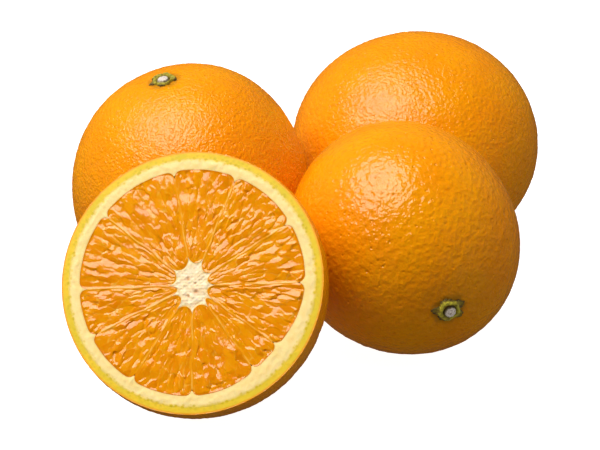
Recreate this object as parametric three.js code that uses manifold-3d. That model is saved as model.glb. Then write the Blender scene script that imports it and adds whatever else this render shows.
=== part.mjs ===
// Three whole oranges and one cut orange, piled together on a flat surface.
// Millimetres, +Z up. The origin is on the surface, under the middle of the pile.
// Each whole orange is one solid with its calyx, the dry star at the stem end, as a piece of its own.
// The cut orange is taken apart as it would be on a plate: peel, pith core and the segments.

import * as THREE from 'three';
import { mergeVertices } from 'three/addons/utils/BufferGeometryUtils.js';
import Module from 'manifold-3d';

const DEGREE = Math.PI / 180;

// Touching pieces keep this much air between them.
const GAP = 0.3;

// Every fruit settles this far into its own flat foot, where it rests on the surface.
const FOOT_DEPTH = 0.35;

// Facets along each edge of the icosahedron that the round surfaces are made from.
const SKIN_DETAIL = 8;
const FLESH_DETAIL = 7;

// The whole oranges. middle is where the centre stands over the surface, and the stem angles say which way the
// stem end points. The last six values bend the plain ellipsoid into the real fruit: egg makes one end fuller,
// boxy flattens the ends, and oval and corners make the girth two-sided and three-sided, as shares of the radius.
const WHOLE_ORANGES = {
  left: {
    middle: [-32.5, 22.5],
    halfWidth: 37.7,
    lengthOverWidth: 1.067,
    stemAzimuth: 217,
    stemElevation: 75.3,
    egg: 0.02,
    boxy: -0.018,
    oval: 0.015,
    ovalAngle: -79,
    corners: 0.02,
    cornerAngle: -11,
    calyxSpan: 9.8,
    calyxTurn: 10,
  },
  right: {
    middle: [39.6, 66.6],
    halfWidth: 38.2,
    lengthOverWidth: 1.094,
    stemAzimuth: 197,
    stemElevation: -10.6,
    egg: -0.006,
    boxy: -0.011,
    oval: 0.015,
    ovalAngle: -25,
    corners: 0.019,
    cornerAngle: -8,
    calyxSpan: 10.6,
    calyxTurn: 50,
  },
  front: {
    middle: [32.9, -9.8],
    halfWidth: 35.4,
    lengthOverWidth: 1.036,
    stemAzimuth: -70,
    stemElevation: -15.8,
    egg: -0.002,
    boxy: 0.013,
    oval: 0.028,
    ovalAngle: -46,
    corners: 0.01,
    cornerAngle: -29,
    calyxSpan: 12,
    calyxTurn: 25,
  },
};

// The dip around the calyx.
const DIMPLE_DEPTH = 1.0;
const DIMPLE_RADIUS = 9;

// The calyx: a five-lobed disc let into the skin, with a raised ring around the scar that the stalk leaves.
const CALYX_LOBES = 5;
const CALYX_NOTCH = 0.7;
const CALYX_OUTLINE_STEPS = 30;
const CALYX_DISC = 0.9;
const CALYX_SEAT_DEPTH = 1.4;
const RING_RADIUS = 3.6;
const RING_TOP = 0.6;
const SCAR_RADIUS = 1.9;
const SCAR_TOP = 0.2;
const RING_STEPS = 20;

// The cut orange: a ball with its top sliced off a little past the middle, leaning back with its cut face up.
const CUT_MIDDLE = [-28.5, -53.6];
const CUT_RADIUS = 38.2;
const CUT_PAST_MIDDLE = 5.9;
const FACE_AZIMUTH = -99.4;
const FACE_ELEVATION = 31.4;

// The peel of the cut orange, and the side where its white layer is thicker.
const PEEL = 5.1;
const THICK_SIDE = 322;
const THICK_EXTRA = 1.7;
const THICK_SPREAD = 24;

// The pith core stands a little off the middle of the face and is taller than it is wide.
const CORE_OFFSET = new THREE.Vector2(0.4, -0.9);
const CORE_HALF_WIDTH = 5.4;
const CORE_HALF_HEIGHT = 7.2;
const CORE_STEPS = 44;

// Where the membranes between the segments run, in degrees about the core, and how far from the middle of the
// core each segment's tip starts.
const MEMBRANE_ANGLES = [5, 37, 73, 105, 146, 186, 211, 242, 275, 311, 329];
const TIP_DISTANCES = [4.4, 5.0, 6.3, 5.6, 5.2, 4.6, 4.9, 6.4, 6.1, 5.4, 4.5];
const TIP_ROUNDING = 2.4;
const CORNER_ROUNDING = 2.2;
const ARC_STEPS = 6;

const COLOURS = {
  skin: 0xf0940a,
  calyx: 0x8f9440,
  core: 0xf6e6c4,
  flesh: 0xe8921c,
};

const manifoldLibrary = await Module();
manifoldLibrary.setup();

// ---- Shared helpers ----

function weld(geometry) {
  const bare = geometry.clone();
  bare.deleteAttribute('normal');
  bare.deleteAttribute('uv');
  return mergeVertices(bare, 1e-4);
}

function toSolid(geometry) {
  const welded = weld(geometry);
  const mesh = new manifoldLibrary.Mesh({
    numProp: 3,
    vertProperties: new Float32Array(welded.attributes.position.array),
    triVerts: new Uint32Array(welded.index.array),
  });
  return new manifoldLibrary.Manifold(mesh);
}

function toGeometry(solid) {
  const mesh = solid.getMesh();
  const geometry = new THREE.BufferGeometry();
  geometry.setAttribute('position', new THREE.BufferAttribute(new Float32Array(mesh.vertProperties), 3));
  geometry.setIndex(new THREE.BufferAttribute(new Uint32Array(mesh.triVerts), 1));
  geometry.computeVertexNormals();
  return geometry;
}

function direction(azimuth, elevation) {
  const level = Math.cos(elevation * DEGREE);
  return new THREE.Vector3(
    level * Math.cos(azimuth * DEGREE),
    level * Math.sin(azimuth * DEGREE),
    Math.sin(elevation * DEGREE),
  );
}

// A turn that points a piece's own +Z along `axis` and keeps its own +X level.
function turnTowards(axis) {
  const side = new THREE.Vector3(0, 0, 1).cross(axis).normalize();
  const up = axis.clone().cross(side);
  const basis = new THREE.Matrix4().makeBasis(side, up, axis);
  return new THREE.Quaternion().setFromRotationMatrix(basis);
}

// A closed ball whose radius in each direction comes from radiusAt(unit direction).
function ballGeometry(radiusAt, detail) {
  const geometry = weld(new THREE.IcosahedronGeometry(1, detail));
  const position = geometry.attributes.position;
  const point = new THREE.Vector3();
  for (let i = 0; i < position.count; i += 1) {
    point.fromBufferAttribute(position, i).normalize();
    point.multiplyScalar(radiusAt(point));
    position.setXYZ(i, point.x, point.y, point.z);
  }
  return geometry;
}

// Lowers a turned group until its geometry reaches FOOT_DEPTH below the surface.
function settle(group, geometry) {
  group.updateMatrix();
  const turned = geometry.clone().applyMatrix4(group.matrix);
  turned.computeBoundingBox();
  group.position.z -= turned.boundingBox.min.z + FOOT_DEPTH;
  group.updateMatrix();
}

// Everything below the surface, as a block in the group's own frame.
function belowSurface(group) {
  const size = 300;
  const block = new THREE.BoxGeometry(size, size, size);
  block.translate(group.position.x, group.position.y, -size / 2);
  block.applyMatrix4(group.matrix.clone().invert());
  return toSolid(block);
}

function makeMesh(name, geometry, colour, roughness) {
  const material = new THREE.MeshStandardMaterial({ color: colour, roughness, metalness: 0 });
  const mesh = new THREE.Mesh(geometry, material);
  mesh.name = name;
  return mesh;
}

// ---- Whole oranges ----

// The skin's distance from the middle of the fruit, in its own frame with the stem end at +Z.
function skinRadius(fruit, towards) {
  const rise = towards.z;
  const girth = Math.hypot(towards.x, towards.y);
  const around = Math.atan2(towards.y, towards.x);
  const ellipsoid = fruit.halfWidth / Math.hypot(girth, rise / fruit.lengthOverWidth);
  const egg = fruit.egg * (5 * rise ** 3 - 3 * rise) / 2;
  const boxy = fruit.boxy * (35 * rise ** 4 - 30 * rise ** 2 + 3) / 8;
  const oval = fruit.oval * girth ** 2 * Math.cos(2 * (around - fruit.ovalAngle * DEGREE));
  const corners = fruit.corners * girth ** 3 * Math.cos(3 * (around - fruit.cornerAngle * DEGREE));
  const fromStem = rise > 0 ? girth * fruit.halfWidth / DIMPLE_RADIUS : Infinity;
  return ellipsoid * (1 + egg + boxy + oval + corners) - DIMPLE_DEPTH * Math.exp(-(fromStem ** 2));
}

// The flat star of dried sepals, extruded upwards from z = 0.
function sepalDisc(span) {
  const outline = [];
  for (let i = 0; i < CALYX_OUTLINE_STEPS; i += 1) {
    const angle = i / CALYX_OUTLINE_STEPS * 2 * Math.PI;
    const lobe = Math.abs(Math.cos(angle * CALYX_LOBES / 2));
    const radius = span / 2 * (CALYX_NOTCH + (1 - CALYX_NOTCH) * lobe);
    outline.push(new THREE.Vector2(radius * Math.cos(angle), radius * Math.sin(angle)));
  }
  const settings = { depth: CALYX_DISC, bevelEnabled: false };
  return new THREE.ExtrudeGeometry(new THREE.Shape(outline), settings);
}

// The ring around the stalk's scar, turned about Z.
function calyxRing(bottom, surface) {
  const top = surface + RING_TOP;
  const profile = [
    new THREE.Vector2(0, bottom),
    new THREE.Vector2(RING_RADIUS, bottom),
    new THREE.Vector2(RING_RADIUS, top - 0.5),
    new THREE.Vector2(RING_RADIUS - 0.7, top),
    new THREE.Vector2(SCAR_RADIUS + 0.3, top),
    new THREE.Vector2(SCAR_RADIUS, surface + SCAR_TOP),
    new THREE.Vector2(0, surface + SCAR_TOP),
  ];
  return new THREE.LatheGeometry(profile, RING_STEPS).rotateX(90 * DEGREE);
}

function calyxGeometry(fruit, surface) {
  const bottom = surface - CALYX_SEAT_DEPTH + GAP;
  const disc = sepalDisc(fruit.calyxSpan).translate(0, 0, bottom);
  const ring = calyxRing(bottom + 0.1, surface);
  const calyx = toGeometry(toSolid(disc).add(toSolid(ring)));
  return calyx.rotateZ(fruit.calyxTurn * DEGREE);
}

// The shallow round seat that the calyx sits in.
function calyxSeat(fruit, surface) {
  const height = 10;
  const seat = new THREE.CylinderGeometry(fruit.calyxSpan / 2 + GAP, fruit.calyxSpan / 2 + GAP, height, 32);
  seat.rotateX(90 * DEGREE);
  seat.translate(0, 0, surface - CALYX_SEAT_DEPTH + height / 2);
  return toSolid(seat);
}

function wholeOrange(name, fruit) {
  const group = new THREE.Group();
  group.quaternion.copy(turnTowards(direction(fruit.stemAzimuth, fruit.stemElevation)));
  group.position.set(fruit.middle[0], fruit.middle[1], 0);
  const skin = ballGeometry((towards) => skinRadius(fruit, towards), SKIN_DETAIL);
  settle(group, skin);
  const surface = skinRadius(fruit, new THREE.Vector3(0, 0, 1));
  const body = toSolid(skin).subtract(belowSurface(group)).subtract(calyxSeat(fruit, surface));
  group.add(makeMesh(`${name}_orange`, toGeometry(body), COLOURS.skin, 0.4));
  group.add(makeMesh(`${name}_calyx`, calyxGeometry(fruit, surface), COLOURS.calyx, 0.8));
  return group;
}

// ---- The cut orange ----
// Its own frame has the middle of the cut face at the origin, +Z out of the face and +X level.

// The peel's thickness in one direction about the face's axis.
function peelThickness(angle) {
  let away = angle / DEGREE - THICK_SIDE;
  away -= 360 * Math.round(away / 360);
  return PEEL + THICK_EXTRA * Math.exp(-((away / THICK_SPREAD) ** 2));
}

// The ball that the flesh fills, less a margin all round.
function fleshBall(margin) {
  const radiusAt = (towards) => {
    const girth = Math.hypot(towards.x, towards.y);
    const thickness = peelThickness(Math.atan2(towards.y, towards.x));
    return CUT_RADIUS - PEEL - (thickness - PEEL) * girth ** 2 - margin;
  };
  return toSolid(ballGeometry(radiusAt, FLESH_DETAIL).translate(0, 0, -CUT_PAST_MIDDLE));
}

// How far the flesh reaches from the core on the cut face, in one direction about the core.
function fleshReach(angle) {
  const ball = CUT_RADIUS - peelThickness(angle);
  const reach = Math.sqrt(ball ** 2 - CUT_PAST_MIDDLE ** 2);
  return reach - CORE_OFFSET.x * Math.cos(angle) - CORE_OFFSET.y * Math.sin(angle);
}

// A block from the cut face down past the bottom of the fruit, with the given outline.
function columnUnderFace(shape) {
  const depth = 2 * CUT_RADIUS;
  const settings = { depth, bevelEnabled: false, curveSegments: 4 };
  return toSolid(new THREE.ExtrudeGeometry(shape, settings).translate(0, 0, -depth));
}

// One segment's outline on the cut face. Its two sides run along its membranes, `inset` inside them.
function segmentShape(index, inset) {
  const start = MEMBRANE_ANGLES[index] * DEGREE;
  const next = (index + 1) % MEMBRANE_ANGLES.length;
  const turn = next === 0 ? 360 : 0;
  const end = (MEMBRANE_ANGLES[next] + turn) * DEGREE;
  const tip = TIP_DISTANCES[index] + inset;
  const polar = (angle, distance, sideways = 0) => new THREE.Vector2(
    CORE_OFFSET.x + distance * Math.cos(angle) - sideways * Math.sin(angle),
    CORE_OFFSET.y + distance * Math.sin(angle) + sideways * Math.cos(angle),
  );
  const reach = (angle) => fleshReach(angle) - inset;
  const cornerTurn = (CORNER_ROUNDING + inset) / reach((start + end) / 2);
  const shape = new THREE.Shape();
  const quadraticTo = (control, point) => shape.quadraticCurveTo(control.x, control.y, point.x, point.y);
  const first = polar(start, tip + TIP_ROUNDING, inset);
  shape.moveTo(first.x, first.y);
  const startSide = polar(start, reach(start) - CORNER_ROUNDING, inset);
  shape.lineTo(startSide.x, startSide.y);
  quadraticTo(polar(start, reach(start), inset), polar(start + cornerTurn, reach(start + cornerTurn)));
  for (let i = 1; i <= ARC_STEPS; i += 1) {
    const angle = start + cornerTurn + (end - start - 2 * cornerTurn) * i / ARC_STEPS;
    const point = polar(angle, reach(angle));
    shape.lineTo(point.x, point.y);
  }
  quadraticTo(polar(end, reach(end), -inset), polar(end, reach(end) - CORNER_ROUNDING, -inset));
  const last = polar(end, tip + TIP_ROUNDING, -inset);
  shape.lineTo(last.x, last.y);
  quadraticTo(polar((start + end) / 2, tip - TIP_ROUNDING), first);
  return shape;
}

function coreShape() {
  const outline = [];
  for (let i = 0; i < CORE_STEPS; i += 1) {
    const angle = i / CORE_STEPS * 2 * Math.PI;
    outline.push(new THREE.Vector2(
      CORE_OFFSET.x + CORE_HALF_WIDTH * Math.cos(angle),
      CORE_OFFSET.y + CORE_HALF_HEIGHT * Math.sin(angle),
    ));
  }
  return new THREE.Shape(outline);
}

function peelGeometry(group) {
  const skin = ballGeometry(() => CUT_RADIUS, SKIN_DETAIL).translate(0, 0, -CUT_PAST_MIDDLE);
  const sliced = new THREE.BoxGeometry(100, 100, 100).translate(0, 0, 50);
  const shell = toSolid(skin).subtract(toSolid(sliced)).subtract(fleshBall(0));
  return toGeometry(shell.subtract(belowSurface(group)));
}

function cutOrange() {
  const group = new THREE.Group();
  const axis = direction(FACE_AZIMUTH, FACE_ELEVATION);
  group.quaternion.copy(turnTowards(axis));
  group.position.set(CUT_MIDDLE[0], CUT_MIDDLE[1], 0).addScaledVector(axis, CUT_PAST_MIDDLE);
  settle(group, ballGeometry(() => CUT_RADIUS, SKIN_DETAIL).translate(0, 0, -CUT_PAST_MIDDLE));
  group.add(makeMesh('half_peel', peelGeometry(group), COLOURS.skin, 0.4));

  const flesh = fleshBall(GAP);
  let core = columnUnderFace(coreShape()).intersect(flesh);
  for (let i = 0; i < MEMBRANE_ANGLES.length; i += 1) {
    const segment = columnUnderFace(segmentShape(i, GAP / 2)).intersect(flesh);
    const name = `half_segment_${String(i + 1).padStart(2, '0')}`;
    group.add(makeMesh(name, toGeometry(segment), COLOURS.flesh, 0.25));
    core = core.subtract(columnUnderFace(segmentShape(i, -GAP / 2)));
  }
  group.add(makeMesh('half_core', toGeometry(core), COLOURS.core, 0.9));
  return group;
}

// ---- The pile ----

const pile = new THREE.Group();
for (const [name, fruit] of Object.entries(WHOLE_ORANGES)) {
  pile.add(wholeOrange(name, fruit));
}
pile.add(cutOrange());

const extent = new THREE.Box3().setFromObject(pile, true);
const middle = extent.getCenter(new THREE.Vector3());
pile.position.set(-middle.x, -middle.y, 0);

const oranges = new THREE.Group();
oranges.add(pile);

export default oranges;
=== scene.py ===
import math

import bpy
import numpy as np
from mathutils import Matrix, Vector, kdtree


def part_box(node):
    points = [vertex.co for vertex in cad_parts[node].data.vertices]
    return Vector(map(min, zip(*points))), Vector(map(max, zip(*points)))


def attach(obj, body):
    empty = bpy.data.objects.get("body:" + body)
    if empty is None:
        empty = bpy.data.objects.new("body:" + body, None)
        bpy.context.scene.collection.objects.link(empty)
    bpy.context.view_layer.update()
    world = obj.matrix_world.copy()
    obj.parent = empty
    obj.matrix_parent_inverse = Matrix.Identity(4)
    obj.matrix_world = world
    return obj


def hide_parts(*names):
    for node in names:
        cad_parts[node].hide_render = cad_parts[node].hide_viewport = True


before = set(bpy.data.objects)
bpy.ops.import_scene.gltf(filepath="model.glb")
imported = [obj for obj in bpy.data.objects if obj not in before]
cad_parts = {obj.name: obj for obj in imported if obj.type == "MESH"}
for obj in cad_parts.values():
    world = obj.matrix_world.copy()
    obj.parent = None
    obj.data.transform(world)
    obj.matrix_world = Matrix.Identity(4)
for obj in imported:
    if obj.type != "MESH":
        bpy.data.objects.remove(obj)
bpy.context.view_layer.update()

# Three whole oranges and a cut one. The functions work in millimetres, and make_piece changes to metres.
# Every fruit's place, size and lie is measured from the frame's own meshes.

SEED = 11

# Skin. The first two tables shape the mesh, and the next two the finer bump on top of it.
PORE_SPACING = {"left_orange": 1.5, "right_orange": 1.7, "front_orange": 2.4, "half_peel": 1.6}
SKIN_RIPPLE = {"left_orange": 0.05, "right_orange": 0.04, "front_orange": 0.02, "half_peel": 0.03}
PIT_SPACING = {"left_orange": 1.5, "right_orange": 1.8, "front_orange": 2.5, "half_peel": 1.9}
WAX_WAVES = {"left_orange": 1.35, "right_orange": 1.05, "front_orange": 0.75, "half_peel": 0.8}
BALL_STEPS = 126  # squares along each side of the cube that a whole orange is blown up from
PORE_DEPTH = 0.07  # times the spacing
PORE_WIDTH = 0.38
BROAD_SWELL = 0.045  # height of the slow swelling under the pores
DIMPLE_DEPTH = 1.0
DIMPLE_RADIUS = 9.0
BLOSSOM_DEPTH = 0.5
BLOSSOM_RADIUS = 3.2
FAR = 50.0  # a distance that stands for nowhere near

# Calyx
LOBES = 5
LOBE_SIZES = (1.0, 0.95, 0.8, 0.55, 0.3)
CALYX_TURNS = 200  # steps round the star
CALYX_RINGS = 52  # steps from its middle to its tips
CALYX_HEIGHT = 0.28  # over the skin, away from the ring
CALYX_THICKNESS = 0.34
CALYX_ROOT = -0.4  # how high its underside stands inside the ring: below the skin
RING_RADIUS = 2.9
RING_WIDTH = 0.85
RING_HEIGHT = 1.0
SCAR_RADIUS = 1.75
SCAR_HEIGHT = 0.85
SCAR_OFFSET = (0.35, -0.45)
# each calyx's colour factor: partly its own duller tone, partly painted light, darker where it is lit
# brightly and full where it is shaded
CALYX_TONE_AND_PAINTED_LIGHT = {"left": 0.62, "right": 0.8, "front": 1.0}

# Cut orange: peel
TURNS = 600  # steps round the cut fruit
FLAVEDO = 2.0  # the coloured outer layer, as thick as it shows on the cut face
OUTSIDE_RINGS = 111
EDGE_RINGS = 9
INSIDE_RINGS = 33
EDGE_ROUNDING = 0.10
PITH_GAP = 0.02  # between the coloured layer and the white one
PITH_OUTSIDE_RINGS = 29
PITH_FACE_RINGS = 24
BOWL_RINGS = 24
BOWL_LIP = 0.4  # the bowl starts at least this far under the cut face

# Cut orange: segments and core
CORNER_ROUNDING = 2.2
TIP_ROUNDING = 2.4
HALF_GAP = 0.004  # half of the air between two segments
SIDE_SWAY = 0.16  # how far the membranes stray from straight lines
SEGMENT_WIDTH_AT = 26  # the distance from the core at which the grid of a face has square cells
SEGMENT_LENGTH = 28
SAC_WIDTH = 1.5  # a juice sac half way out from the core
SAC_LENGTH = 4.0
SAC_GRID = 0.16
SAC_BULGE = 0.045
SAC_GROOVE = 0.010
FACE_SWELL = 0.14
MEMBRANE_RIDGE = 0.03
BOWL_CLEARANCE = 0.3
SEGMENT_LEVELS = ((1.0, 0.35), (1.0, 0.75), (1.0, 1.0), (0.8, 1.0), (0.55, 1.0), (0.3, 1.0), (0.12, 1.0))
CORE_TURNS = 440
CORE_RINGS = 40
CORE_PITS = (((1.1, -1.7), 0.75), ((-1.4, 1.8), 0.6), ((0.7, 0.6), 0.35), ((-0.9, -3.2), 0.4))
CORE_PIT_DEPTH = 0.3

# Light
FILL_LIGHT = {(-1, 0, 0): 0.95, (1, 0, 0): 0.6, (0, 1, 0): 2.1, (0, 0, -1): 0.08, (0.6, -0.5, -0.62): 0.22}
MIRRORED_FILL = 0.02  # the share of the fill that reflections show
SOFTBOX_TOWARDS = Vector((-0.32, -0.25, 0.91)).normalized()
SOFTBOX_DISTANCE = 1.0
SOFTBOX_WATTS = 14.2

# Camera
CAMERA_LENS = 136.3
CAMERA_ELEVATION = math.radians(21.2)
CAMERA_DISTANCE = 0.7
CAMERA_AIM = Vector((-0.0038, -0.0128, 0.0353))

# Colours
SKIN_BRIGHT = (0.90, 0.325, 0.001)
SKIN_DEEP = (0.87, 0.275, 0.001)
SKIN_PORE = (0.82, 0.25, 0.001)
STEM_STAIN = (0.20, 0.13, 0.012)
BLOSSOM_BROWN = (0.13, 0.05, 0.012)
RIM_YELLOW = (0.90, 0.58, 0.008)
RIM_GREEN = (0.79, 0.55, 0.006)
RIM_GLAND = (0.55, 0.37, 0.003)
PITH = (0.99, 0.74, 0.30)
PITH_SHADE = (0.97, 0.66, 0.21)
PITH_BY_FLESH = (0.95, 0.62, 0.16)
CORE_WHITE = (1.0, 0.81, 0.52)
CORE_SHADE = (0.92, 0.66, 0.36)
CORE_PIT = (0.60, 0.22, 0.05)
CORE_BY_FLESH = (0.88, 0.60, 0.18)
FLESH_BRIGHT = (0.88, 0.325, 0.002)
FLESH_DEEP = (0.79, 0.245, 0.001)
FLESH_WALL = (0.97, 0.58, 0.09)
FLESH_BY_PEEL = (0.74, 0.18, 0.001)
MEMBRANE = (0.97, 0.52, 0.08)
SEPAL = (0.38, 0.28, 0.02)
SEPAL_BROWN = (0.19, 0.10, 0.015)
SEPAL_EDGE = (0.10, 0.055, 0.015)
RING_GREEN = (0.62, 0.53, 0.035)
RING_BROWN = (0.30, 0.23, 0.018)
SCAR_WHITE = (1.0, 0.88, 0.76)
SCAR_BROWN = (0.48, 0.33, 0.23)
# painted shade: near-black for the groove round the stalk scar
MOAT_PAINTED_SHADE = (0.045, 0.04, 0.01)


# ---- Arithmetic shared by the pieces ----

def unit(vectors):
    """The same vectors, each one long."""
    return vectors / np.linalg.norm(vectors, axis=-1, keepdims=True)


def waves(points, length, seed, count=28):
    """Smooth random undulation, about -1 to 1, of the given wavelength in millimetres."""
    rng = np.random.default_rng(seed)
    directions = unit(rng.normal(size=(count, 3)))
    lengths = length * rng.uniform(0.7, 1.4, size=count)
    phases = rng.uniform(0, 2 * math.pi, size=count)
    turns = points @ (directions / lengths[:, None]).T * 2 * math.pi
    return np.cos(turns + phases).sum(axis=1) * math.sqrt(2 / count) / 1.6


def smooth_step(value, low, high):
    """0 below low, 1 above high, and an eased rise between them."""
    share = np.clip((value - low) / (high - low), 0, 1)
    return share * share * (3 - 2 * share)


def hump(value, width):
    """1 where the value is 0, falling away over the given width."""
    return np.exp(-((value / width) ** 2))


def powers(directions, degree=5):
    """Every product of powers of x, y and z up to the given degree, one column each."""
    x, y, z = directions.T
    columns = [
        x**i * y**j * z**k
        for i in range(degree + 1)
        for j in range(degree + 1 - i)
        for k in range(degree + 1 - i - j)
    ]
    return np.stack(columns, axis=1)


def around(turn, distance, height):
    """Points at the given turns, distances and heights about the z axis."""
    parts = [distance * np.cos(turn), distance * np.sin(turn), height]
    return np.stack(np.broadcast_arrays(*parts), axis=-1)


def even_directions(count, jitter, rng):
    """Directions spread evenly over the ball on a spiral, each nudged at random."""
    step = np.arange(count) + 0.5
    height = 1 - 2 * step / count
    turn = step * math.pi * (3 - math.sqrt(5))
    level = np.sqrt(1 - height**2)
    spread = around(turn, level, height)
    return unit(spread + rng.normal(size=spread.shape) * jitter)


def full_turn(steps):
    """Angles all the way round, without the last that would repeat the first."""
    return np.linspace(0, 2 * math.pi, steps, endpoint=False)


# ---- Faces ----

def ball_grid(steps):
    """A unit ball blown up from a cube cut into squares: its directions and its quads."""
    line = np.tan(np.linspace(-1, 1, steps + 1) * math.pi / 4)
    u, v = np.meshgrid(line, line, indexing="ij")
    one = np.ones_like(u)
    sides = [(one, u, v), (-one, v, u), (v, one, u), (u, -one, v), (u, v, one), (v, u, -one)]
    points = np.concatenate([np.stack(side, axis=-1).reshape(-1, 3) for side in sides])
    number = np.arange((steps + 1) ** 2).reshape(steps + 1, steps + 1)
    square = np.stack([number[:-1, :-1], number[1:, :-1], number[1:, 1:], number[:-1, 1:]], axis=-1)
    quads = np.concatenate([square.reshape(-1, 4) + side * (steps + 1) ** 2 for side in range(6)])
    _, first, place = np.unique(np.round(points, 6), axis=0, return_index=True, return_inverse=True)
    return unit(points[first]), place.reshape(-1)[quads]


def ring_quads(number):
    """Quads between neighbouring rows of a numbered grid whose rows close into rings."""
    after = np.roll(number, -1, axis=1)
    return np.stack([number[:-1], number[1:], after[1:], after[:-1]], axis=-1).reshape(-1, 4)


def fan(centre, ring):
    """Triangles from one point to every side of a ring."""
    return [(centre, first, second) for first, second in zip(ring, np.roll(ring, -1))]


def turned_over(faces):
    """The same faces with their other side out."""
    return [(first, *reversed(rest)) for first, *rest in faces]


def closed_grid(rows, turns):
    """Faces of a grid of rings, closed at its ends by the two points numbered after it."""
    number = np.arange(rows * turns).reshape(rows, turns)
    first_end = fan(number.size, number[0])
    last_end = turned_over(fan(number.size + 1, number[-1]))
    return [*ring_quads(number), *first_end, *last_end]


# ---- Making Blender objects ----

def make_piece(name, points, faces, nodes, material, values):
    """A closed, smooth mesh that rides on the root and stands for the given CAD nodes."""
    mesh = bpy.data.meshes.new(name)
    mesh.from_pydata((np.asarray(points) / 1000).tolist(), [], [list(map(int, face)) for face in faces])
    mesh.validate()
    mesh.shade_smooth()
    mesh.set_sharp_from_angle(angle=math.radians(55))
    for key, numbers in values.items():
        layer = mesh.attributes.new(key, "FLOAT", "POINT")
        layer.data.foreach_set("value", np.asarray(numbers, dtype=np.float32))
    mesh.materials.append(material)
    piece = bpy.data.objects.new(name, mesh)
    bpy.context.scene.collection.objects.link(piece)
    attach(piece, "root")
    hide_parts(*nodes)


def frame_points(node):
    """A CAD node's corners, in millimetres."""
    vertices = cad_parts[node].data.vertices
    points = np.zeros(len(vertices) * 3)
    vertices.foreach_get("co", points)
    return points.reshape(-1, 3) * 1000


def middle_of(node):
    """The middle of a CAD node's box, in millimetres."""
    low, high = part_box(node)
    return np.array((low + high) / 2) * 1000


# ---- Materials ----

class Nodes:
    """A node tree, with short words for what the materials and the world both need."""

    def __init__(self, tree):
        self.nodes = tree.nodes
        self.links = tree.links

    def put(self, socket, value):
        """Sets a socket to a number or colour, or links another node's output to it."""
        if isinstance(value, bpy.types.NodeSocket):
            self.links.new(value, socket)
        elif socket.type == "RGBA":
            socket.default_value = (*value, 1)
        else:
            socket.default_value = value

    def fill(self, node, values):
        """Puts values on a node's sockets, named with underscores for spaces."""
        for key, value in values.items():
            self.put(node.inputs[key.replace("_", " ")], value)

    def add(self, kind, **values):
        """A new node of a kind, with values on its sockets."""
        node = self.nodes.new(f"ShaderNode{kind}")
        self.fill(node, values)
        return node

    def maths(self, operation, first, second):
        """One arithmetic operation on two values."""
        node = self.add("Math")
        node.operation = operation
        self.put(node.inputs[0], first)
        self.put(node.inputs[1], second)
        return node.outputs[0]


class Shader(Nodes):
    """A new material's nodes, with short words for the textures and mixes used here."""

    def __init__(self, name):
        self.material = bpy.data.materials.new(name)
        self.material.use_nodes = True
        super().__init__(self.material.node_tree)
        self.surface = self.nodes["Principled BSDF"]
        self.place = self.add("TexCoord").outputs["Object"]

    def set(self, **values):
        """Puts values on the surface itself."""
        self.fill(self.surface, values)

    def value(self, name):
        """A number stored on the mesh's vertices."""
        node = self.add("Attribute")
        node.attribute_name = name
        return node.outputs["Fac"]

    def noise(self, scale, detail=2.0, roughness=0.5):
        """Soft random blotches, about 1 / scale metres across."""
        node = self.add("TexNoise", Vector=self.place, Scale=scale, Detail=detail, Roughness=roughness)
        return node.outputs["Fac"]

    def cells(self, scale):
        """Distance to the middle of the nearest random cell."""
        return self.add("TexVoronoi", Vector=self.place, Scale=scale).outputs["Distance"]

    def between(self, value, low, high, start=0.0, end=1.0):
        """Maps low..high to start..end, clamped, with eased ends."""
        node = self.add("MapRange", Value=value, From_Min=low, From_Max=high, To_Min=start, To_Max=end)
        node.interpolation_type = "SMOOTHSTEP"
        return node.outputs["Result"]

    def mix(self, share, first, second, blend="MIX"):
        """The first colour where the share is 0, and the second where it is 1."""
        node = self.add("Mix")
        node.data_type = "RGBA"
        node.blend_type = blend
        self.put(node.inputs[0], share)
        self.put(node.inputs[6], first)
        self.put(node.inputs[7], second)
        return node.outputs[2]

    def bump(self, height, strength, distance, under=None):
        """A normal bent by a height, on top of another bump if one is given."""
        node = self.add("Bump", Strength=strength, Distance=distance, Height=height)
        if under is not None:
            self.put(node.inputs["Normal"], under)
        return node.outputs["Normal"]

    def roughened(self, distance, scale, amount):
        """A stored distance, made uneven by noise."""
        return self.maths("ADD", self.value(distance), self.maths("MULTIPLY", self.noise(scale, 2), amount))


def skin_colour(shader):
    """Mottled orange, deeper in the pores, stained at the stem and brown at the blossom scar."""
    mottle = shader.between(shader.noise(60, 3), 0.3, 0.7)
    colour = shader.mix(mottle, SKIN_BRIGHT, SKIN_DEEP)
    fine = shader.between(shader.noise(900, 2), 0.4, 0.75, 0, 0.4)
    colour = shader.mix(fine, colour, SKIN_DEEP)
    speck = shader.between(shader.cells(700), 0.05, 0.4, 0.35, 0)
    colour = shader.mix(shader.maths("MAXIMUM", speck, shader.value("pore")), colour, SKIN_PORE)
    stain = shader.between(shader.roughened("stem", 500, 2.6), 5.6, 7.4, 0.45, 0)
    colour = shader.mix(stain, colour, STEM_STAIN)
    scar = shader.between(shader.roughened("blossom", 900, 0.9), 1.1, 2.0, 0.9, 0)
    return shader.mix(scar, colour, BLOSSOM_BROWN)


def skin_normal(shader, node, share=1.0):
    """Wax waves and oil-gland pits over the modelled pores, as strong as the given share."""
    spacing = PIT_SPACING[node]
    wax = shader.bump(shader.noise(1900 / spacing, 1), share, WAX_WAVES[node] * spacing * 0.0002)
    pits = shader.between(shader.cells(1000 / spacing), 0.03, 0.23)
    return shader.bump(pits, share, spacing * 0.00006, wax)


def set_skin_depth(shader):
    """How skin takes up light."""
    shader.set(Subsurface_Weight=0.1, Subsurface_Scale=0.0012, Subsurface_Radius=(1.0, 0.35, 0.08))
    shader.set(Specular_IOR_Level=0.42)


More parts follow.
